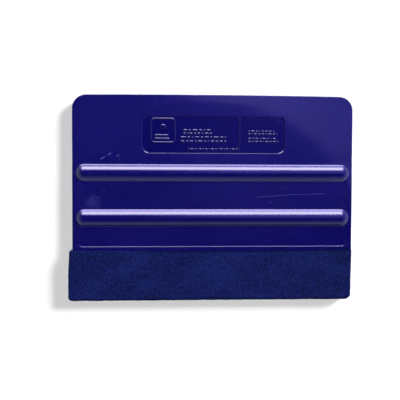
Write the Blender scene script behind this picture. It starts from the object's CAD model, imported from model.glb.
"""A felt-edged squeegee card for laying vinyl film, lying face up on a white table."""

import bpy
import numpy as np
from math import cos, pi, radians, sin, sqrt, tan
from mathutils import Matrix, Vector


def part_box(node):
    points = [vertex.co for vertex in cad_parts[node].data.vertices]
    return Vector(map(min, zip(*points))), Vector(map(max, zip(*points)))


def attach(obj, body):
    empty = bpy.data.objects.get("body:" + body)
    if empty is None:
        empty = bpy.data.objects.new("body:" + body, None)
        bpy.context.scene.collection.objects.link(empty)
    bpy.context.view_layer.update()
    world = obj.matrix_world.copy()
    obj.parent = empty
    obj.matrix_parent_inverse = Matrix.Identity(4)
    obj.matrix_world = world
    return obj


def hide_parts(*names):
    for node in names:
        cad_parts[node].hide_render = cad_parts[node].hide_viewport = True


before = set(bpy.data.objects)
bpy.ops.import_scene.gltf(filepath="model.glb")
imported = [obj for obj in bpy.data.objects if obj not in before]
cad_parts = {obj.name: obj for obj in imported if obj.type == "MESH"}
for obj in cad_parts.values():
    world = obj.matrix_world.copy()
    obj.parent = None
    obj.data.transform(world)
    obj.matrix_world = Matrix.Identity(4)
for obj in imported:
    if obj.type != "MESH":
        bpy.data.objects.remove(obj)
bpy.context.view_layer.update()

# ---------------------------------------------------------------- sizes, in millimetres

MM = 0.001
card_low, card_high = (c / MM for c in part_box("squeegee_card"))
felt_low, felt_high = (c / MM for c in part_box("felt_strip"))
felt_length = felt_high.x - felt_low.x

CARD_X = (card_low.x + card_high.x) / 2  # the card's middle, a little right of the origin
MID_Z = (card_low.z + card_high.z) / 2
HALF_W = (card_high.x - card_low.x) / 2
TOP_Y, TIP_Y = card_high.y, card_low.y

CARD_HALF = 1.1  # half the thickness at the border
CORNER_R = 5.0
TIP_CORNER_R = 0.8
TOP_BOW = 0.3  # how far the grip edge bows out in its middle
BOW_Y = 30.0  # where the bow starts
EDGE_R = 0.2  # round of the card's outer edges
DRAFT = 0.04  # how far each face's edge stands inside the parting line
RIDGE_HALF = 0.07  # half the height of the ridge that the mould's parting line leaves
RIDGE_STAND = 0.02
RIDGE_ROOT = 0.01

PANEL_DEPTH = 0.2
PANEL_LOW_R = 1.0
BORDER_W = 2.5
BORDER_DROP = 0.02  # how far the border falls away to the outer edge
TOP_DROP = 0.03  # the same for the panel at the grip edge
TOP_FALL = (20.0, 12.0)  # where BORDER_DROP starts to pass into TOP_DROP, and over what height
STEP_Y = -17.25
STEP_WALL = 0.2  # width of the panel's wall at the step
STEP_ZONE = 0.3  # from this far above the step on, the wall gets wider
SIDE_WALL_GAIN = 3.2  # how much wider it is at the panel's sides
PANEL_OPENS = (2.0, 12.0)  # where the side walls start to die out, and over what height
FLOW_H = 0.006  # height of the slow waves that the plastic's flow leaves
FLOW_SIZE, FLOW_DETAIL = 17, 7  # sizes of those waves

RIB_Y = (9.0, -6.95)
RIB_W = 6.0
RIB_H = 1.5
RIB_FILLET = 0.06
RIB_FLANK = radians(41.5)  # slope of the straight flanks below the round crest
RIB_R = (RIB_W / 2 * tan(RIB_FLANK) - RIB_H) / (1 / cos(RIB_FLANK) - 1)
RIB_LEFT, RIB_RIGHT = 1.25 - HALF_W, HALF_W - 1.05

RING_H = 0.1  # about the height of the ejector rings, which are broken by noise
RING_LINE = 0.2  # half width of their line
OPEN_RING = (-42.9, 1.7, 1.5)  # middle and radius of the ring whose lower part is missing
OPEN_RING_Y = 1.6  # where that ring starts
WHOLE_RING = (-40.4, 1.45, 1.75)

LABEL_X, LABEL_Y = 0.0, 22.6
LABEL_W, LABEL_H, LABEL_R = 51.0, 13.1, 2.8
LABEL_DEPTH = 0.2
LABEL_WALL = 0.13  # width of the recess's sloping wall
MARK_H = 0.2
MARK_ROOT = -0.08  # where the marks start, below the recess's floor
LEAST_R = 0.02  # the smallest radius and half width on a mark's top

# the badge's frame: middle, half size, corner radius and width of its line
BADGE_FRAME = (-18.0, 24.1, 4.2, 1.3, 0.55)
# raised bars as left, bottom, width, height and corner radius
BARS = (
    (-21.1, 20.7, 5.4, 0.8, 0.9),
    (-21.1, 21.8, 5.0, 0.9, 0.9),
    (-18.9, 24.4, 1.9, 1.9, 0.9),
    (9.0, 16.8, 0.34, 11.2, 0.15),
    (8.85, 28.1, 0.64, 0.64, 0.3),
)
# rows of dashes as left, right, bottom, height, scale and which of DASH_WIDTHS comes first
DASH_ROWS = (
    (-10.9, 0.3, 23.7, 0.85, 1.0, 0),
    (-10.9, 0.3, 22.5, 0.85, 0.8, 3),
    (-11.8, 6.2, 21.2, 0.85, 1.0, 2),
    (-11.8, 6.2, 19.7, 0.9, 0.9, 5),
    (-9.3, 9.9, 17.0, 0.85, 0.62, 1),
    (12.2, 23.3, 23.5, 0.75, 0.75, 1),
    (12.2, 23.3, 22.5, 0.75, 0.75, 3),
    (12.2, 23.3, 20.9, 0.75, 0.75, 5),
    (12.2, 23.3, 19.8, 0.75, 0.75, 7),
)
DASH_WIDTHS = (1.5, 0.9, 1.9, 1.2, 0.7, 1.6, 1.1)
DASH_R = 0.3

# the card's grid: how far the close lines reach from each shape, and their step
WALL_ZONE, WALL_STEP = 0.15, 0.026
ROUND_ZONE, ROUND_STEP = 2.9, 0.17
RIB_ZONE, RIB_STEP = 0.25, 0.24
RINGS_RIGHT, RINGS_LOW = -38, -0.9  # as far as the ejector rings' close lines reach

TIP_R = 0.55
BOND_GAP = 0.02
FILM_T = 0.1
FILM_INSET = 0.4
FILM_IN_R = TIP_R + BOND_GAP
FELT_IN_R = FILM_IN_R + FILM_T
NOSE_Y = TIP_Y + TIP_R
FELT_OUT_R = NOSE_Y - felt_low.y
FELT_TOP_Y = felt_high.y
FOLD_R_LEFT, FOLD_R_RIGHT = 1.2, 2.0  # radii of the felt's corners at the fold
CUT_R = 0.35  # the same at its cut edges
FELT_ROUND = 0.45  # how far from its edges the felt gets thinner
FELT_THINNING = 0.22
FOLD_SWELL = 0.1  # how far the felt swells at the fold
TAPER = np.arccos(TIP_R / np.hypot(STEP_Y - NOSE_Y, CARD_HALF)) - np.arctan2(
    STEP_Y - NOSE_Y, CARD_HALF
)  # slope of the blade's faces
MEET_Y = NOSE_Y - TIP_R * sin(TAPER)

# ---------------------------------------------------------------- colours, marks of wear and the sky

DYE_DARK, DYE_PALE = (0.0029, 0.0025, 0.083, 1), (0.0038, 0.0030, 0.093, 1)
POLISHED_BLUE = (0.0008, 0.0008, 0.072, 1)
WORN_BLUE = (0.06, 0.055, 0.3, 1)
FELT_DARK, FELT_PALE = (0.0030, 0.0055, 0.034), (0.0115, 0.0178, 0.13)
CUT_EDGE_BLUE = (0.001, 0.002, 0.02, 1)
FILM_DARK, FILM_PALE = (0.52, 0.5, 0.42, 1), (0.68, 0.66, 0.58, 1)
TABLE_GREY, TABLE_WHITE = (0.9, 0.9, 0.9, 1), (0.92, 0.92, 0.92, 1)

# the scratches on the front, each from a point to a point and its width
SCRATCHES = (
    ((15.54, 0.4), (29.04, 1.45), 0.07),
    ((27.51, 1.4), (41.51, 1.75), 0.06),
    ((20.07, -1.67), (21.77, -1.07), 0.24),
    ((-39.95, 13.47), (-37.15, 15.07), 0.2),
    ((-37.34, 14.98), (-34.94, 16.48), 0.26),
    ((-34.1, 14.74), (-32.3, 15.54), 0.24),
    ((-33.08, 14.58), (-32.08, 13.38), 0.16),
    ((-38.72, 17.43), (-37.92, 17.73), 0.16),
    ((7.86, -13.33), (9.16, -12.53), 0.15),
    ((9.09, -3.26), (10.09, -2.86), 0.12),
)
SMUDGE_AT = (-42.3, -1.4, 3.3)  # a thumb's print beside the left end of the ribs
SMUDGE_R = 4.2
HAIRLINE_TURNS = (0.35, 1.34, -0.76)  # the directions of the hairlines, in radians

DIM_MIDDLE, DIM_RADII = (0.02, -0.06), (0.265, 0.178)  # the ellipse of dim ceiling
CEILING_TINT = (0.43, 0.39, 1.1)
HAZE_TINT = (0.15, 0.115, 0.72)
WALL_TINT = (0.43, 0.39, 1.0)


# ---------------------------------------------------------------- helpers for shapes


def smooth(t):
    """An even step from 0 to 1 as t goes from 0 to 1."""
    t = np.clip(t, 0, 1)
    return t * t * (3 - 2 * t)


def rise(value, start, over):
    """An even step from 0 at start to 1 at that distance over it."""
    return smooth((value - start) / over)


def smooth_max(a, b, k):
    """The larger of a and b, with the corner between them filleted over k."""
    h = np.clip(0.5 + 0.5 * (a - b) / k, 0, 1)
    return b + (a - b) * h + k * h * (1 - h)


def lines(start, stop, step):
    """Grid lines from start to stop, about step apart."""
    return np.linspace(start, stop, max(1, round((stop - start) / step)) + 1)


def grid_lines(*runs):
    """All runs' lines in order, less those that nearly repeat the one before."""
    found = np.sort(np.concatenate([np.atleast_1d(r) for r in runs]))
    return found[np.r_[True, np.diff(found) > 0.012]]


def lattice(i, j, seed):
    """A repeatable pseudo-random value from 0 to 1 for each lattice point."""
    v = np.sin(i * 127.1 + j * 311.7 + seed * 74.7) * 43758.5453
    return v - np.floor(v)


def noise(x, y, size, seed):
    """Smooth noise from -1 to 1, with bumps about size across."""
    x, y = x / size + 500, y / size + 500
    i, j = np.floor(x), np.floor(y)
    u, v = smooth(x - i), smooth(y - j)
    low = lattice(i, j, seed) * (1 - u) + lattice(i + 1, j, seed) * u
    high = lattice(i, j + 1, seed) * (1 - u) + lattice(i + 1, j + 1, seed) * u
    return 2 * (low * (1 - v) + high * v) - 1


def rounded_box(x, y, low, high, r):
    """Signed distance to a rectangle with rounded corners, negative inside."""
    cx, cy = (low[0] + high[0]) / 2, (low[1] + high[1]) / 2
    qx = np.abs(x - cx) - (high[0] - low[0]) / 2 + r
    qy = np.abs(y - cy) - (high[1] - low[1]) / 2 + r
    return np.hypot(np.maximum(qx, 0), np.maximum(qy, 0)) + np.minimum(np.maximum(qx, qy), 0) - r


def make_piece(name, points_mm, faces, material, body):
    """A smooth-shaded mesh from points in millimetres, which rides on a body."""
    mesh = bpy.data.meshes.new(name)
    mesh.from_pydata((np.asarray(points_mm) * MM).tolist(), [], faces)
    mesh.polygons.foreach_set("use_smooth", [True] * len(mesh.polygons))
    mesh.materials.append(material)
    mesh.validate()
    piece = bpy.data.objects.new(name, mesh)
    bpy.context.scene.collection.objects.link(piece)
    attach(piece, body)
    return piece


def quads(index, flip=False):
    """The faces between neighbours of a 2-D array of vertex indices, without repeated corners."""
    a, b = index[:-1, :-1].ravel(), index[1:, :-1].ravel()
    c, d = index[1:, 1:].ravel(), index[:-1, 1:].ravel()
    order = (a, d, c, b) if flip else (a, b, c, d)
    faces = []
    for quad in zip(*order):
        face = list(dict.fromkeys(int(v) for v in quad))
        if len(face) > 2:
            faces.append(face)
    return faces


# ---------------------------------------------------------------- the card


def rib_height(x, y):
    """Height above the panel of the nearer rib, negative away from it."""
    half = RIB_W / 2
    past = np.maximum(np.maximum(RIB_LEFT + half - x, x - RIB_RIGHT + half), 0)
    off = np.minimum(np.abs(y - RIB_Y[0]), np.abs(y - RIB_Y[1]))
    d = np.hypot(off, past)
    crest = np.sqrt(np.maximum(RIB_R**2 - d**2, 0)) - (RIB_R - RIB_H)
    return np.where(d < RIB_R * sin(RIB_FLANK), crest, (half - d) * tan(RIB_FLANK))


def ejector_ring(x, y, cx, cy, r):
    """A narrow ring of height 1 round (cx, cy)."""
    return np.exp(-(((np.hypot(x - cx, y - cy) - r) / RING_LINE) ** 2))


def front_relief(x, y):
    """What the front has on top of a plain face: the label recess and two broken ejector rings."""
    half_w, half_h = LABEL_W / 2, LABEL_H / 2
    outside = rounded_box(x - LABEL_X, y - LABEL_Y, (-half_w, -half_h), (half_w, half_h), LABEL_R)
    recess = LABEL_DEPTH * smooth(0.5 - outside / LABEL_WALL)
    broken = RING_H * np.clip(0.6 + 1.3 * noise(x, y, 1.3, 61), 0, 1.3)
    open_ring = ejector_ring(x, y, *OPEN_RING) * rise(y, OPEN_RING_Y, 1.2)
    return broken * (open_ring + ejector_ring(x, y, *WHOLE_RING)) - recess


def card_height(x, y, edge, front):
    """Height of a face above the card's middle plane, at distance edge from the outline."""
    blade = TIP_R / cos(TAPER) + (y - NOSE_Y) * tan(TAPER)
    nose = np.sqrt(np.maximum(TIP_R**2 - np.minimum(y - NOSE_Y, 0) ** 2, 0))
    land = np.where(y < MEET_Y, nose, np.minimum(blade, CARD_HALF))
    drop = BORDER_DROP + (TOP_DROP - BORDER_DROP) * rise(y, *TOP_FALL)
    z = land - drop * np.clip(1 - edge / (BORDER_W + 1), 0, 1) ** 2 * land / CARD_HALF

    # the shallow panel: a short wall at the step and soft ones at its sides, which die out upwards
    low = (BORDER_W - HALF_W, STEP_Y + STEP_WALL / 2)
    wall = STEP_WALL + SIDE_WALL_GAIN * rise(y, STEP_Y + STEP_ZONE, 1.5)
    outside = rounded_box(x, y, low, (HALF_W - BORDER_W, 2 * TOP_Y), PANEL_LOW_R)
    panel = smooth(0.5 - outside / wall)
    z -= PANEL_DEPTH * np.maximum(panel, rise(y, *PANEL_OPENS))
    z = smooth_max(z, CARD_HALF - PANEL_DEPTH + rib_height(x, y), RIB_FILLET)
    if front:
        z += front_relief(x, y)
    flow = noise(x, y, FLOW_SIZE, 3 if front else 4) + 0.5 * noise(x, y, FLOW_DETAIL, 5)
    z += FLOW_H * flow * rise(y, STEP_Y, 3) * smooth(edge / 2)

    r = np.minimum(EDGE_R, 0.7 * z)
    into = np.clip(1 - edge / np.maximum(r, 1e-6), 0, 1)
    return z - r * (1 - np.sqrt(1 - into**2))


def recess_lines(low, high, step):
    """Lines across the label recess: the closest at its walls, and close ones at its round corners."""
    return np.concatenate([
        lines(low - WALL_ZONE, low + WALL_ZONE, WALL_STEP),
        lines(low + WALL_ZONE, low + ROUND_ZONE, ROUND_STEP),
        lines(low + ROUND_ZONE, high - ROUND_ZONE, step),
        lines(high - ROUND_ZONE, high - WALL_ZONE, ROUND_STEP),
        lines(high - WALL_ZONE, high + WALL_ZONE, WALL_STEP),
    ])


def card_grid():
    """Grid lines across and up the card, close together where the surface turns."""
    edge = grid_lines(
        EDGE_R * (1 - np.cos(np.linspace(0, pi / 2, 5))),
        lines(EDGE_R, 1.4, 0.3),
        lines(1.4, CORNER_R, 0.36),
    )
    left, right = LABEL_X - LABEL_W / 2, LABEL_X + LABEL_W / 2
    u = grid_lines(
        edge - HALF_W,
        HALF_W - edge,
        lines(CORNER_R - HALF_W, RINGS_RIGHT, 0.2),
        lines(RINGS_RIGHT, left - WALL_ZONE, 1.3),
        recess_lines(left, right, 2.0),
        lines(right + WALL_ZONE, HALF_W - CORNER_R, 1.3),
    )
    upper, lower = RIB_Y
    reach = RIB_W / 2 + RIB_ZONE
    below, above = LABEL_Y - LABEL_H / 2, LABEL_Y + LABEL_H / 2
    v = grid_lines(
        NOSE_Y - TIP_R * np.cos(np.linspace(0, pi / 2, 9)),
        lines(NOSE_Y, STEP_Y - STEP_WALL / 2, 1.4),
        lines(STEP_Y - STEP_WALL / 2, STEP_Y + STEP_ZONE, 0.03),
        lines(STEP_Y + STEP_ZONE, STEP_Y + 1.5, 0.2),
        lines(STEP_Y + 1.5, lower - reach, 0.8),
        lines(lower - reach, lower + reach, RIB_STEP),
        lines(lower + reach, RINGS_LOW, 0.7),
        lines(RINGS_LOW, upper - reach, 0.2),
        lines(upper - reach, upper + reach, RIB_STEP),
        lines(upper + reach, below - WALL_ZONE, 0.8),
        recess_lines(below, above, 1.2),
        lines(above + WALL_ZONE, TOP_Y - CORNER_R, 0.5),
        TOP_Y - edge,
    )
    return u, v


def outline_map(u, v):
    """Bends the grid's square corners onto the card's outline.

    Returns x, y, the distance to the outline and the outline's outward normal.
    """
    x, y = np.meshgrid(u, v, indexing="ij")
    edge = np.minimum(HALF_W - np.abs(x), TOP_Y - y)
    side = HALF_W - np.abs(x) <= TOP_Y - y
    nx, ny = np.where(side, np.sign(x), 0.0), np.where(side, 0.0, 1.0)

    # the two grip corners: squares whose L-shaped lines become quarter circles
    s = (np.abs(x) - (HALF_W - CORNER_R)) / CORNER_R
    t = (y - (TOP_Y - CORNER_R)) / CORNER_R
    corner = (s > 0) & (t > 0)
    s, t = np.where(corner, s, 1), np.where(corner, t, 1)
    turn = np.where(s >= t, pi / 4 * t / s, pi / 2 - pi / 4 * s / t)
    r = CORNER_R * np.maximum(s, t)
    x = np.where(corner, np.sign(x) * (HALF_W - CORNER_R + r * np.cos(turn)), x)
    y = np.where(corner, TOP_Y - CORNER_R + r * np.sin(turn), y)
    nx = np.where(corner, np.sign(x) * np.cos(turn), nx)
    ny = np.where(corner, np.sin(turn), ny)

    # the grip edge bows out a little in its middle
    y = y + TOP_BOW * (1 - (x / HALF_W) ** 2) * rise(y, BOW_Y, TOP_Y - BOW_Y)

    # the two blade corners: the rows near the tip get shorter
    up = np.clip(TIP_CORNER_R - (y - TIP_Y), 0, TIP_CORNER_R)
    inset = TIP_CORNER_R - np.sqrt(TIP_CORNER_R**2 - up**2)
    x -= np.sign(x) * inset * rise(np.abs(x), HALF_W - 4, 4)
    return x, y, edge, nx, ny


def side_wall(front, back, x, y, nx, ny, height):
    """Points and faces of the wall between two faces, with the parting line's ridge along its middle.

    The tip's own row, which both faces share, needs no wall.
    """
    last, top = front.shape[0] - 1, front.shape[1] - 1
    round_it = (
        [(0, j) for j in range(top + 1)]
        + [(i, top) for i in range(1, last)]
        + [(last, j) for j in range(top, -1, -1)]
    )
    points, rim = [], []
    made = 2 * front.size
    for i, j in round_it:
        if j == 0:
            rim.append([front[i, j]] * 5)
            continue
        place = np.array([CARD_X + x[i, j], y[i, j], MID_Z])
        out = np.array([nx[i, j], ny[i, j], 0])
        half = min(RIDGE_HALF, 0.4 * height[i, j])
        for dz, stand in ((half, 0), (0, RIDGE_STAND), (-half, 0)):
            points.append(place + out * (stand - RIDGE_ROOT) + (0, 0, dz))
        rim.append([front[i, j], made, made + 1, made + 2, back[i, j]])
        made += 3
    return points, quads(np.array(rim))


def make_card(material):
    """The moulding: a front and a back face on one grid, and the wall between them."""
    x, y, edge, nx, ny = outline_map(*card_grid())
    inset = DRAFT * (edge < EDGE_R)
    face_x, face_y = CARD_X + x - inset * nx, y - inset * ny
    heights = [card_height(x, y, edge, True), -card_height(x, y, edge, False)]
    heights[0][:, 0] = heights[1][:, 0] = 0  # both faces share the tip's own row

    front = np.arange(x.size).reshape(x.shape)
    back = front + x.size
    back[:, 0] = front[:, 0]
    points = [np.stack([face_x, face_y, MID_Z + z], -1).reshape(-1, 3) for z in heights]
    wall_points, wall = side_wall(front, back, x, y, nx, ny, heights[0])
    points = np.concatenate([*points, wall_points])
    faces = quads(front) + quads(back, flip=True) + wall
    card = make_piece("card_moulding", points, faces, material, "card")
    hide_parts("squeegee_card")


# ---------------------------------------------------------------- raised marks in the label recess


class Relief:
    """Collects raised shapes that stand on the label recess's floor."""

    def __init__(self):
        self.points, self.faces = [], []
        self.floor = MID_Z + CARD_HALF - PANEL_DEPTH - LABEL_DEPTH

    def dome(self, outline, reach):
        """Raises an outline, given as a function of inset, into a dome that is level from reach on."""
        turns = np.linspace(0, pi / 2, 6)
        steps = [(0, MARK_ROOT)] + [(reach * (1 - cos(a)), MARK_H * sin(a)) for a in turns]
        start = len(self.points)
        size = len(outline(0))
        for inset, z in steps:
            self.points += [(CARD_X + x, y, self.floor + z) for x, y in outline(inset)]
        index = np.arange(start, start + size * len(steps)).reshape(len(steps), size)
        self.faces += quads(np.concatenate([index, index[:, :1]], 1), flip=True)
        self.faces += [index[0].tolist()[::-1], index[-1].tolist()]

    def bar(self, x, y, w, h, r):
        """A rounded bar from its lower left corner."""
        r = min(r, 0.45 * w, 0.45 * h)

        def outline(inset):
            found = []
            radius = max(r - inset, LEAST_R)
            back = max(r, inset + LEAST_R)
            for k, (sx, sy) in enumerate(((1, 1), (0, 1), (0, 0), (1, 0))):
                inner_x = x + w - back if sx else x + back
                inner_y = y + h - back if sy else y + back
                for a in np.linspace(k * pi / 2, (k + 1) * pi / 2, 4):
                    found.append((inner_x + radius * cos(a), inner_y + radius * sin(a)))
            return found

        self.dome(outline, 0.42 * min(w, h))

    def dashes(self, x, stop, y, h, scale, first):
        """Dashes of mixed widths from x to stop."""
        k = first
        while True:
            w = DASH_WIDTHS[k % len(DASH_WIDTHS)] * scale
            if x + w > stop:
                return
            self.bar(x, y, w, h, DASH_R)
            x += w + 0.35 * scale + 0.05
            k += 1

    def frame(self, cx, cy, half, r, width):
        """A closed round-backed line of that width along a rounded square."""
        start = len(self.points)
        arch = [(width / 2 * cos(a), MARK_H * sin(a)) for a in np.linspace(pi, 0, 8)]
        section = [(-width / 2, MARK_ROOT)] + arch + [(width / 2, MARK_ROOT)]
        loop = []
        for k, (sx, sy) in enumerate(((1, 1), (-1, 1), (-1, -1), (1, -1))):
            for a in np.linspace(k * pi / 2, (k + 1) * pi / 2, 8):
                loop.append((cx + sx * (half - r), cy + sy * (half - r), cos(a), sin(a)))
        for px, py, ox, oy in loop:
            for out, z in section:
                reach = r + out
                self.points.append((CARD_X + px + reach * ox, py + reach * oy, self.floor + z))
        index = np.arange(start, start + len(loop) * len(section)).reshape(len(loop), len(section))
        index = np.concatenate([index, index[:1]], 0)
        self.faces += quads(np.concatenate([index, index[:, :1]], 1), flip=True)


def make_label_marks(material):
    """A plain framed badge, a divider and rows of blank dashes."""
    relief = Relief()
    relief.frame(*BADGE_FRAME)
    for bar in BARS:
        relief.bar(*bar)
    for row in DASH_ROWS:
        relief.dashes(*row)
    make_piece("label_marks", relief.points, relief.faces, material, "card")


# ---------------------------------------------------------------- layers folded over the blade


def section_lines(flat_lines, round_lines):
    """(which flat, position) for each line round the fold.

    The flat is 1 for the front one, 0 for the round between them and -1 for the back one.
    """
    flat = np.asarray(flat_lines)
    front = [(1, f) for f in flat]
    turn = [(0, a) for a in np.linspace(0, 1, round_lines + 2)[1:-1]]
    return np.array(front + turn + [(-1, f) for f in flat[::-1]])


def fold(section, r, top_y):
    """Points and normals, in Y and Z, round the fold at radius r, from a cut edge at top_y."""
    kind, at = section[:, 0], section[:, 1]
    meet_y = NOSE_Y - r * sin(TAPER)
    y_flat = top_y + (meet_y - top_y) * at
    z_flat = r / cos(TAPER) + (y_flat - NOSE_Y) * tan(TAPER)
    a = pi / 2 + TAPER + (pi - 2 * TAPER) * at
    bent = kind == 0
    y = np.where(bent, NOSE_Y + r * np.cos(a), y_flat)
    z = np.where(bent, r * np.sin(a), kind * z_flat)
    ny = np.where(bent, np.cos(a), -sin(TAPER))
    nz = np.where(bent, np.sin(a), kind * cos(TAPER))
    return y, z, ny, nz


def closed_layer(inner, outer):
    """Points and faces of a closed sheet between two grids of points."""
    rows, cols = inner.shape[:2]
    low = np.arange(rows * cols).reshape(rows, cols)
    high = low + rows * cols
    faces = quads(low, flip=True) + quads(high)
    border = (
        [(i, 0) for i in range(rows)]
        + [(rows - 1, j) for j in range(1, cols)]
        + [(i, cols - 1) for i in range(rows - 2, -1, -1)]
        + [(0, j) for j in range(cols - 2, 0, -1)]
    )
    ring = np.array([[low[p], high[p]] for p in border + border[:1]])
    faces += quads(ring, flip=True)
    return np.concatenate([inner.reshape(-1, 3), outer.reshape(-1, 3)]), faces


def felt_ends(y, back):
    """The felt's left and right ends at y, cut by hand and so not quite square."""
    t = (y - felt_low.y) / (FELT_TOP_Y - felt_low.y)
    # the left end leans in towards the cut edge, and the right end towards the fold
    left = felt_low.x + 0.09 + 0.45 * rise(t, 0.45, 0.6)
    right = felt_high.x - 0.3 - 0.14 * (1 - t)
    if back:
        left, right = left - 0.1 + 0.2 * t, right + 0.1 - 0.25 * t
    return left, right


def rounded_end(from_edge, r):
    """How far a sheet's end steps back at that distance from a rounded corner's edge."""
    gone = np.clip(r - from_edge, 0, r)
    return r - np.sqrt(r * r - gone * gone)


def felt_sides(y, z, cut):
    """The x of the felt's left and right ends, with their rounded corners, at y and z."""
    share = rise(z, -1, 2)  # the ends pass from the back's cut to the front's round the fold
    left, right = felt_ends(y, False)
    left_back, right_back = felt_ends(y, True)
    left = left_back + (left - left_back) * share
    right = right_back + (right - right_back) * share
    above_fold = y - felt_low.y
    step = rounded_end(cut - y, CUT_R) + 0.05 * noise(y, z, 0.6, 31)
    left = left + rounded_end(above_fold, FOLD_R_LEFT) + step
    right = right - rounded_end(above_fold, FOLD_R_RIGHT) - step
    return left, right


def felt_cut(x, back):
    """The height of the felt's cut edge at x, which sags a little between its ends."""
    t = x / felt_length * 2
    sag = 0.15 + 0.1 * t if back else 0.33 - (0.52 + 0.13 * t) * t**2
    return FELT_TOP_Y + 0.2 - sag + 0.035 * noise(x, 0 * x, 1.1, 21)


def felt_swell(x, y, z, from_edge, bent):
    """How far the felt's outside stands out past an even thickness."""
    s = np.cumsum(np.r_[0, np.hypot(np.diff(y[0]), np.diff(z[0]))]) + 0 * x
    lumps = 0.03 * noise(x, s, 3.1, 41) + 0.035 * noise(x, s, 1.2, 42)
    lumps += 0.045 * noise(x, s / 1.7, 0.6, 43)
    into = np.clip(1 - from_edge / FELT_ROUND, 0, 1)
    return lumps + FOLD_SWELL * bent - 0.03 - FELT_THINNING * (1 - np.sqrt(1 - into**2))


def make_felt(material):
    """The folded strip, and the grid of points of its outside."""
    ends = np.array([0, 0.1, 0.25, 0.45])
    across = np.concatenate([ends, lines(0.8, felt_length - 0.8, 0.4), felt_length - ends[::-1]])
    across /= felt_length
    section = section_lines(np.r_[0, 0.006, 0.016, 0.03, np.linspace(0.05, 1, 38)], 13)
    bent, back = section[:, 0] == 0, section[:, 0] == -1
    even_x = (felt_low.x + across * felt_length)[:, None]
    cut = np.where(back, felt_cut(even_x, True), felt_cut(even_x, False))
    grids = []
    for r in (FELT_IN_R, FELT_OUT_R):
        y, z, ny, nz = fold(section, r, cut)
        left, right = felt_sides(y, z, cut)
        x = left + (right - left) * across[:, None]
        if r == FELT_OUT_R:
            from_end = np.minimum(x - left, right - x)
            from_edge = np.where(bent, from_end, np.minimum(from_end, cut - y))
            push = felt_swell(x, y, z, from_edge, bent)
            y, z = y + ny * push, z + nz * push
        grids.append(np.stack([x, y, MID_Z + z], -1))
    points, faces = closed_layer(*grids)
    felt = make_piece("felt_edge_strip", points, faces, material, "felt_edge")
    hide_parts("felt_strip")
    return felt, grids[1]


class Nap:
    """Short loose fibres on a surface that is given as a grid of points."""

    def __init__(self, surface, seed):
        self.surface = surface
        self.rows, self.cols = surface.shape[:2]
        self.along, self.down = np.gradient(surface, axis=0), np.gradient(surface, axis=1)
        normal = np.cross(self.along, self.down)
        normal /= np.linalg.norm(normal, axis=-1, keepdims=True)
        self.out = normal if normal[self.rows // 2, 5, 2] > 0 else -normal
        self.rng = np.random.default_rng(seed)
        self.points, self.faces = [], []

    def hair(self, root, direction, up, length, radius, curl):
        """A thin curved spike: two rings of three points and a tip."""
        side = np.cross(direction, up)
        side /= np.linalg.norm(side)
        start = len(self.points)
        for share, thick in ((0, 1.0), (0.55, 0.8)):
            centre = root + direction * length * share + up * curl * sin(pi * share) * length
            for a in (0, 2.1, 4.2):
                self.points.append(centre + radius * thick * (cos(a) * side + sin(a) * up))
        self.points.append(root + direction * length + up * curl * 0.3 * length)
        a, b, c, d, e, f, tip = range(start, start + 7)
        self.faces += [[a, b, c], [a, d, e, b], [b, e, f, c], [c, f, d, a]]
        self.faces += [[d, tip, e], [e, tip, f], [f, tip, d]]

    def lying(self):
        """One fibre that lies on the surface, mostly along the strip's width."""
        rng = self.rng
        i, j = rng.integers(2, self.rows - 2), rng.integers(2, self.cols - 2)
        n = self.out[i, j]
        tangent = self.along[i, j] * rng.normal() * 0.6 + self.down[i, j] * rng.normal()
        tangent /= np.linalg.norm(tangent) + 1e-9
        direction = tangent + n * rng.uniform(0.02, 0.3)
        direction /= np.linalg.norm(direction)
        root = self.surface[i, j] - n * 0.03 + tangent * rng.uniform(-0.2, 0.2)
        length, radius = rng.uniform(0.35, 1.0), rng.uniform(0.012, 0.022)
        self.hair(root, direction, n, length, radius, rng.uniform(-0.1, 0.25))

    def loose(self, i, j, away):
        """One fibre that points outwards from an edge."""
        rng = self.rng
        n = self.out[i, j]
        direction = away * rng.uniform(0.5, 1) + n * rng.uniform(-0.6, 0.5) + rng.normal(0, 0.35, 3)
        direction /= np.linalg.norm(direction)
        root = self.surface[i, j] - n * rng.uniform(0, 0.7) - away * 0.06
        length, radius = rng.uniform(0.15, 0.42), rng.uniform(0.012, 0.02)
        self.hair(root, direction, n, length, radius, rng.uniform(-0.1, 0.2))

    def at_end(self):
        """One fibre at the left or right end."""
        right = self.rng.integers(2)
        i = (self.rows - 1) * right
        self.loose(i, self.rng.integers(0, self.cols), np.array([1.0 if right else -1.0, 0, 0]))

    def at_cut(self):
        """One fibre at a cut edge."""
        i = self.rng.integers(0, self.rows)
        self.loose(i, (self.cols - 1) * self.rng.integers(2), np.array([0, 1.0, 0]))


def make_nap(surface, material):
    """The felt's nap, which is thicker at its ends and cut edges and stays above the table."""
    nap = Nap(surface, seed=7)
    for grow, count in ((nap.lying, 5200), (nap.at_end, 1100), (nap.at_cut, 1400)):
        for _ in range(count):
            grow()
    points = np.array(nap.points)
    points[:, 2] = np.maximum(points[:, 2], 0.01)
    return make_piece("felt_loose_fibres", points, nap.faces, material, "felt_edge")


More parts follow.
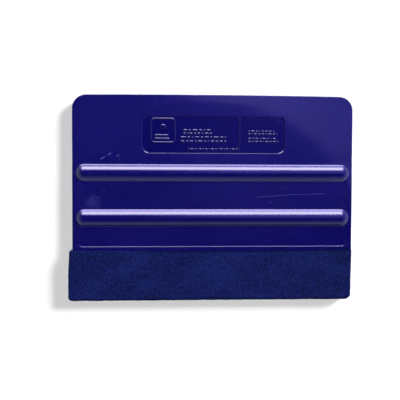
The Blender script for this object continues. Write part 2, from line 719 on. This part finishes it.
def make_film(material):
    """The adhesive film, which fills the gap under the felt and stays back from its edges."""
    across = lines(0, 1, 1 / 120)
    section = section_lines(np.linspace(0, 1, 26), 9)
    low_x, high_x = felt_low.x + FILM_INSET + 0.2, felt_high.x - FILM_INSET - 0.3
    x = (low_x + across * (high_x - low_x))[:, None] + np.zeros(len(section))
    cut = FELT_TOP_Y - FILM_INSET - 0.3 + 0.12 * noise(x, 0 * x, 4, 51)
    grids = []
    for r in (FILM_IN_R, FELT_IN_R - 0.005):
        y, z, _, _ = fold(section, r, cut)
        grids.append(np.stack([x, y, MID_Z + z], -1))
    points, faces = closed_layer(*grids)
    film = make_piece("adhesive_film", points, faces, material, "felt_edge")
    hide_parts("edge_adhesive")


# ---------------------------------------------------------------- materials


class Nodes:
    """Makes linked nodes in a node tree."""

    def __init__(self, tree):
        self.tree = tree

    def plug(self, socket, value):
        """Links another node's output to the socket, or sets a plain value on it."""
        if isinstance(value, bpy.types.NodeSocket):
            self.tree.links.new(value, socket)
        else:
            socket.default_value = value

    def node(self, kind, inputs, out=0, **settings):
        """A new node's output, with its inputs given by name or number."""
        made = self.tree.nodes.new(kind)
        for key, value in settings.items():
            setattr(made, key, value)
        for key, value in inputs.items():
            self.plug(made.inputs[key], value)
        return made.outputs[out]

    def math(self, operation, a, b=0.0, clamp=False):
        """A sum, product or the like of one or two values."""
        return self.node("ShaderNodeMath", {0: a, 1: b}, operation=operation, use_clamp=clamp)

    def product(self, first, *others):
        """All the values multiplied together."""
        for value in others:
            first = self.math("MULTIPLY", first, value)
        return first

    def scaled(self, value, factor, offset):
        """value times factor plus offset."""
        inputs = {0: value, 1: factor, 2: offset}
        return self.node("ShaderNodeMath", inputs, operation="MULTIPLY_ADD")

    def tint(self, value, by):
        """Two vectors or colours multiplied channel by channel."""
        return self.node("ShaderNodeVectorMath", {0: value, 1: by}, operation="MULTIPLY")

    def parts(self, vector):
        """The vector's x, y and z."""
        return self.node("ShaderNodeSeparateXYZ", {0: vector}).node.outputs[:]

    def span(self, value, low, high, to_low=0.0, to_high=1.0):
        """value from low..high carried to to_low..to_high, smoothly and clamped."""
        inputs = {"Value": value, "From Min": low, "From Max": high, "To Min": to_low, "To Max": to_high}
        return self.node("ShaderNodeMapRange", inputs, interpolation_type="SMOOTHSTEP")


class Shade(Nodes):
    """A material's node tree, with the object's own position in millimetres at hand."""

    def __init__(self, name):
        self.material = bpy.data.materials.new(name)
        self.material.use_nodes = True
        super().__init__(self.material.node_tree)
        self.shader = self.tree.nodes["Principled BSDF"]
        place = self.node("ShaderNodeTexCoord", {}, "Object")
        self.mm = self.tint(place, (1000, 1000, 1000))

    def set(self, **values):
        """Sets or links the shader's inputs, named with _ for each space."""
        for key, value in values.items():
            self.plug(self.shader.inputs[key.replace("_", " ")], value)

    def stretched(self, scale, turn=0.0):
        """The position in millimetres, turned about Z and then scaled on each axis."""
        inputs = {"Vector": self.mm, "Angle": turn}
        return self.tint(self.node("ShaderNodeVectorRotate", inputs, rotation_type="Z_AXIS"), scale)

    def noise(self, vector, scale, detail=2.0, rough=0.5):
        """Fractal noise from 0 to 1."""
        inputs = {"Vector": vector, "Scale": scale, "Detail": detail, "Roughness": rough}
        return self.node("ShaderNodeTexNoise", inputs)

    def mix(self, share, a, b):
        """Colour a where share is 0, and b where it is 1."""
        return self.node("ShaderNodeMix", {0: share, 6: a, 7: b}, 2, data_type="RGBA")

    def bump(self, height, depth_mm, under=None):
        """A bump whose height of 1 stands depth_mm out of the surface."""
        inputs = {"Height": height, "Distance": depth_mm * MM, "Strength": 1.0}
        if under is not None:
            inputs["Normal"] = under
        return self.node("ShaderNodeBump", inputs)

    def scratch(self, a, b, width):
        """1 on a hairline from a to b, in millimetres as seen from above, and 0 off it."""
        (ax, ay), (bx, by) = a, b
        length = sqrt((bx - ax) ** 2 + (by - ay) ** 2)
        dx, dy = (bx - ax) / length, (by - ay) / length
        x, y, _ = self.parts(self.mm)
        across = self.math("ADD", self.product(x, -dy), self.scaled(y, dx, dy * ax - dx * ay))
        along = self.math("ADD", self.product(x, dx), self.scaled(y, dy, -dx * ax - dy * ay))
        off_middle = self.math("ABSOLUTE", self.math("SUBTRACT", along, length / 2))
        on_line = self.span(self.math("ABSOLUTE", across), width, width * 0.4)
        return self.product(on_line, self.span(off_middle, length / 2, length / 2 - 1.5))


def recess_mask(s, front):
    """1 on the label recess's floor and walls, and 0 elsewhere."""
    x, y, _ = s.parts(s.mm)
    off_x = s.math("ABSOLUTE", s.math("SUBTRACT", x, CARD_X + LABEL_X))
    off_y = s.math("ABSOLUTE", s.math("SUBTRACT", y, LABEL_Y))
    inside_x = s.span(off_x, LABEL_W / 2 + 0.1, LABEL_W / 2 - 0.1)
    inside_y = s.span(off_y, LABEL_H / 2 + 0.1, LABEL_H / 2 - 0.1)
    return s.product(inside_x, front, inside_y)


def wear(s, front):
    """Where the surface is worn: patches of hairlines and scuffs, and the scratches on the front."""
    hairs = 0.0
    for turn in HAIRLINE_TURNS:
        fine = s.noise(s.stretched((0.1, 7.0, 0.4), turn), 1.0, 1.0, 0.4)
        hairs = s.math("MAXIMUM", hairs, s.span(fine, 0.74, 0.79))
    marks = 0.0
    for a, b, width in SCRATCHES:
        marks = s.math("MAXIMUM", marks, s.scratch(a, b, width))
    patch = s.span(s.noise(s.stretched((0.07, 0.08, 0.1)), 1.0, 2.0), 0.5, 0.72)
    scuffs = s.span(s.noise(s.mm, 0.9, 4.0, 0.7), 0.66, 0.74)
    rubbed = s.math("MAXIMUM", s.product(hairs, patch, 0.5), s.product(scuffs, patch, 0.35))
    return s.math("MAXIMUM", s.product(marks, front), rubbed)


def thumb_smudge(s, front):
    """A faint uneven print, from 0 to 1."""
    inputs = {0: s.mm, 1: SMUDGE_AT}
    away = s.node("ShaderNodeVectorMath", inputs, 1, operation="DISTANCE")
    uneven = s.span(s.noise(s.mm, 0.4, 2.0), 0.3, 0.6, 0.35, 1.0)
    return s.product(s.span(away, SMUDGE_R, 0.3), uneven, front)


def card_plastic():
    """Glossy dyed plastic: faint flow marks, a fine moulded skin, hairlines and a few scuffs."""
    s = Shade("card_plastic")
    _, y, z = s.parts(s.mm)
    front = s.span(z, MID_Z, MID_Z + 0.3)
    polished = recess_mask(s, front)
    worn = wear(s, front)
    skin = s.noise(s.mm, 1.2, 3.0, 0.55)

    flow = s.noise(s.stretched((0.05, 0.11, 0.3)), 1.0, 3.0, 0.55)
    colour = s.mix(s.span(flow, 0.35, 0.7), DYE_DARK, DYE_PALE)
    towards_grip = s.mix(s.span(y, -18, 34), (0.92, 0.92, 0.92, 1), (1.12, 1.12, 1.12, 1))
    colour = s.mix(polished, s.tint(colour, towards_grip), POLISHED_BLUE)
    colour = s.mix(s.product(worn, 0.7), colour, WORN_BLUE)
    colour = s.mix(s.product(thumb_smudge(s, front), 0.2), colour, WORN_BLUE)
    cloudy = s.mix(s.span(skin, 0.32, 0.68), (0.86, 0.88, 0.94, 1), (1.14, 1.12, 1.06, 1))

    rough = s.scaled(s.span(skin, 0.3, 0.7), 0.04, 0.045)
    rough = s.math("SUBTRACT", rough, s.product(polished, 0.02))
    rough = s.math("ADD", rough, s.product(worn, 0.3), clamp=True)

    # the ribs, which stand out and are held, have a coarser skin
    handled = s.span(s.math("ABSOLUTE", s.math("SUBTRACT", z, MID_Z)), 1.0, 1.7)
    normal = s.bump(s.product(skin, s.math("SUBTRACT", 1.0, polished)), 0.0015)
    normal = s.bump(s.product(s.noise(s.mm, 1.7, 3.0, 0.6), handled), 0.03, normal)
    normal = s.bump(s.noise(s.mm, 4.0, 2.0, 0.5), 0.0003, normal)
    normal = s.bump(worn, -0.01, normal)
    s.set(Base_Color=s.tint(colour, cloudy), Roughness=rough, Normal=normal, IOR=1.5)
    return s.material


def felt_cloth(name, light=1.0):
    """Pressed navy felt: matted fibres in several sizes, drawn out a little along Y."""
    s = Shade(name)
    patch = s.noise(s.stretched((0.09, 0.14, 0.1)), 1.0, 2.0, 0.5)
    clump = s.noise(s.stretched((1.5, 1.2, 1.4), 0.3), 1.0, 5.0, 0.72)
    streak = s.noise(s.stretched((2.6, 0.7, 2.6)), 1.0, 3.0, 0.65)
    fibre = s.noise(s.stretched((6.0, 3.0, 6.0), 0.25), 1.0, 3.0, 0.7)
    tone = s.product(s.span(clump, 0.36, 0.64), 0.6)
    tone = s.math("ADD", tone, s.product(s.span(streak, 0.34, 0.66), 0.28))
    tone = s.math("ADD", tone, s.span(patch, 0.35, 0.65, -0.12, 0.12), clamp=True)
    dark, pale = ([c * light for c in colour] + [1] for colour in (FELT_DARK, FELT_PALE))

    # the cut edge is darker towards the right, where it stands off the card
    x, y, _ = s.parts(s.mm)
    t = s.math("DIVIDE", x, HALF_W + 0.8)
    cut_y = s.scaled(s.product(t, t), 0.55, FELT_TOP_Y - 0.13)
    near_cut = s.span(s.math("SUBTRACT", cut_y, y), 0.5, 0.15)
    shaded = s.product(near_cut, s.span(t, -0.75, -0.1), 0.75)
    s.set(
        Base_Color=s.mix(shaded, s.mix(tone, dark, pale), CUT_EDGE_BLUE),
        Roughness=s.span(fibre, 0.2, 0.8, 0.8, 1.0),
        Normal=s.bump(fibre, 0.08, s.bump(clump, 0.14)),
        Specular_IOR_Level=0.0,
        Sheen_Weight=0.08,
        Sheen_Roughness=0.4,
        Sheen_Tint=(0.15, 0.2, 1.0, 1.0),
    )
    return s.material


def tacky_film():
    """Pale adhesive film with a creased, uneven gloss."""
    s = Shade("adhesive_film")
    mottle = s.noise(s.mm, 0.35, 4.0, 0.6)
    creases = s.noise(s.stretched((1.3, 0.3, 1.0), 0.2), 1.0, 3.0, 0.6)
    s.set(
        Base_Color=s.mix(s.span(mottle, 0.3, 0.7), FILM_DARK, FILM_PALE),
        Roughness=s.span(creases, 0.3, 0.7, 0.25, 0.5),
        Normal=s.bump(creases, 0.03),
        IOR=1.47,
    )
    return s.material


def table_paint():
    """Flat white paint."""
    s = Shade("white_table")
    colour = s.mix(s.noise(s.mm, 0.02, 2.0), TABLE_GREY, TABLE_WHITE)
    s.set(Base_Color=colour, Roughness=0.95, Specular_IOR_Level=0.0)
    return s.material


# ---------------------------------------------------------------- table, light and camera


def make_table():
    """A white table top that reaches past all that the camera sees."""
    half = 6.0
    corners = [(-half, -half, 0), (half, -half, 0), (half, half, 0), (-half, half, 0)]
    mesh = bpy.data.meshes.new("table_top")
    mesh.from_pydata(corners, [], [(0, 1, 2, 3)])
    mesh.materials.append(table_paint())
    table = bpy.data.objects.new("table_top", mesh)
    bpy.context.scene.collection.objects.link(table)


def sky_colour(n, place):
    """The room's colour towards a place: bright walls, and a dim ceiling with light past an ellipse.

    The ellipse, which the card's middle reflects, is given in slopes from straight up.
    """
    x, y, z = n.parts(place)
    up = n.math("MAXIMUM", z, 0.05)
    across, along = n.math("DIVIDE", x, up), n.math("DIVIDE", y, up)
    a = n.math("DIVIDE", n.math("SUBTRACT", across, DIM_MIDDLE[0]), DIM_RADII[0])
    b = n.math("DIVIDE", n.math("SUBTRACT", along, DIM_MIDDLE[1]), DIM_RADII[1])
    past = n.math("ADD", n.product(a, a), n.product(b, b))
    lit = n.product(n.span(past, 1.0, 1.05), n.span(across, -0.02, 0.12))
    fading = n.product(n.span(along, -0.03, 0.05), n.span(across, 0.13, 0.3, 1.45, 0.85))
    haze = n.product(n.span(across, -0.06, 0.14, 0, 0.62), n.span(along, -0.09, -0.03))
    haze = n.math("ADD", haze, n.span(along, -0.04, 0.1, 0.15, 0.38))

    def join(operation, first, second):
        """The sum or the larger of two colours."""
        return n.node("ShaderNodeVectorMath", {0: first, 1: second}, operation=operation)

    ceiling = join("ADD", n.tint(n.product(lit, fading), CEILING_TINT), n.tint(haze, HAZE_TINT))
    walls = n.tint(n.span(z, 0.46, 0.92, 1.38, 0.0), WALL_TINT)
    white_below = n.span(z, 0.27, 0.35, 1.0, 0.0)
    return join("MAXIMUM", join("MAXIMUM", walls, ceiling), white_below)


def make_sky():
    """The white room round the table, which shows only in glossy reflections and behind the scene."""
    world = bpy.data.worlds.new("room")
    world.use_nodes = True
    world.cycles_visibility.diffuse = False
    n = Nodes(world.node_tree)
    background = n.tree.nodes["Background"]
    n.plug(background.inputs["Color"], sky_colour(n, n.node("ShaderNodeTexCoord", {}, "Generated")))
    background.inputs["Strength"].default_value = 1.0
    bpy.context.scene.world = world


def sun(name, direction, strength, angle):
    """Even light from far away that leaves no highlight of its own."""
    data = bpy.data.lights.new(name, "SUN")
    data.energy, data.angle = strength, radians(angle)
    light = bpy.data.objects.new(name, data)
    light.rotation_mode = "QUATERNION"
    light.rotation_quaternion = (-Vector(direction)).to_track_quat("-Z", "Y")
    light.visible_glossy = False
    bpy.context.scene.collection.objects.link(light)


def softbox(name, low, high, distance, width, radiance, colour):
    """A long glossy-only box across X, between two angles from straight up towards +Y."""
    half, middle = radians(high - low) / 2, radians(high + low) / 2
    size = (width, 2 * distance * tan(half))
    data = bpy.data.lights.new(name, "AREA")
    data.shape = "RECTANGLE"
    data.size, data.size_y = size
    data.energy = radiance * pi * size[0] * size[1]
    data.color = colour
    light = bpy.data.objects.new(name, data)
    light.location = distance * Vector((0, sin(middle), cos(middle)))
    light.rotation_euler = (-middle, 0, 0)
    light.visible_camera = False
    light.visible_diffuse = False
    bpy.context.scene.collection.objects.link(light)


def make_lights():
    """The sky, a low key sun and a fill overhead, and the softboxes that only the ribs reflect."""
    make_sky()
    sun("key", (1.9, 1.34, 1.0), 5.25, 20)
    sun("overhead_fill", (0, 0, 1), 2.05, 24)
    softbox("softbox_wide", 32, 84.5, 0.95, 1.3, 7.1, (0.44, 0.4, 1.0))
    softbox("softbox_middle", 40, 83.5, 0.9, 1.15, 8.2, (0.56, 0.5, 1.0))
    softbox("softbox_core", 45.5, 72, 0.85, 0.8, 9.2, (1.0, 0.94, 0.1))


def make_camera():
    """The camera, which looks down from above the card's left side."""
    data = bpy.data.cameras.new("camera")
    data.lens, data.sensor_width = 60.03, 36.0
    data.clip_start, data.clip_end = 0.01, 20
    camera = bpy.data.objects.new("camera", data)
    camera.location = Vector((-19.12 + CARD_X, 9.031, 240.19)) * MM
    camera.rotation_euler = (radians(-2.324), radians(-3.432), radians(0.188))
    bpy.context.scene.collection.objects.link(camera)
    bpy.context.scene.camera = camera


# ---------------------------------------------------------------- the scene

make_camera()
make_table()
make_lights()
bpy.context.scene.view_settings.view_transform = "Standard"

plastic = card_plastic()
make_card(plastic)
make_label_marks(plastic)
make_film(tacky_film())
felt, felt_surface = make_felt(felt_cloth("felt_cloth"))
nap = make_nap(felt_surface, felt_cloth("felt_fibres", 1.5))
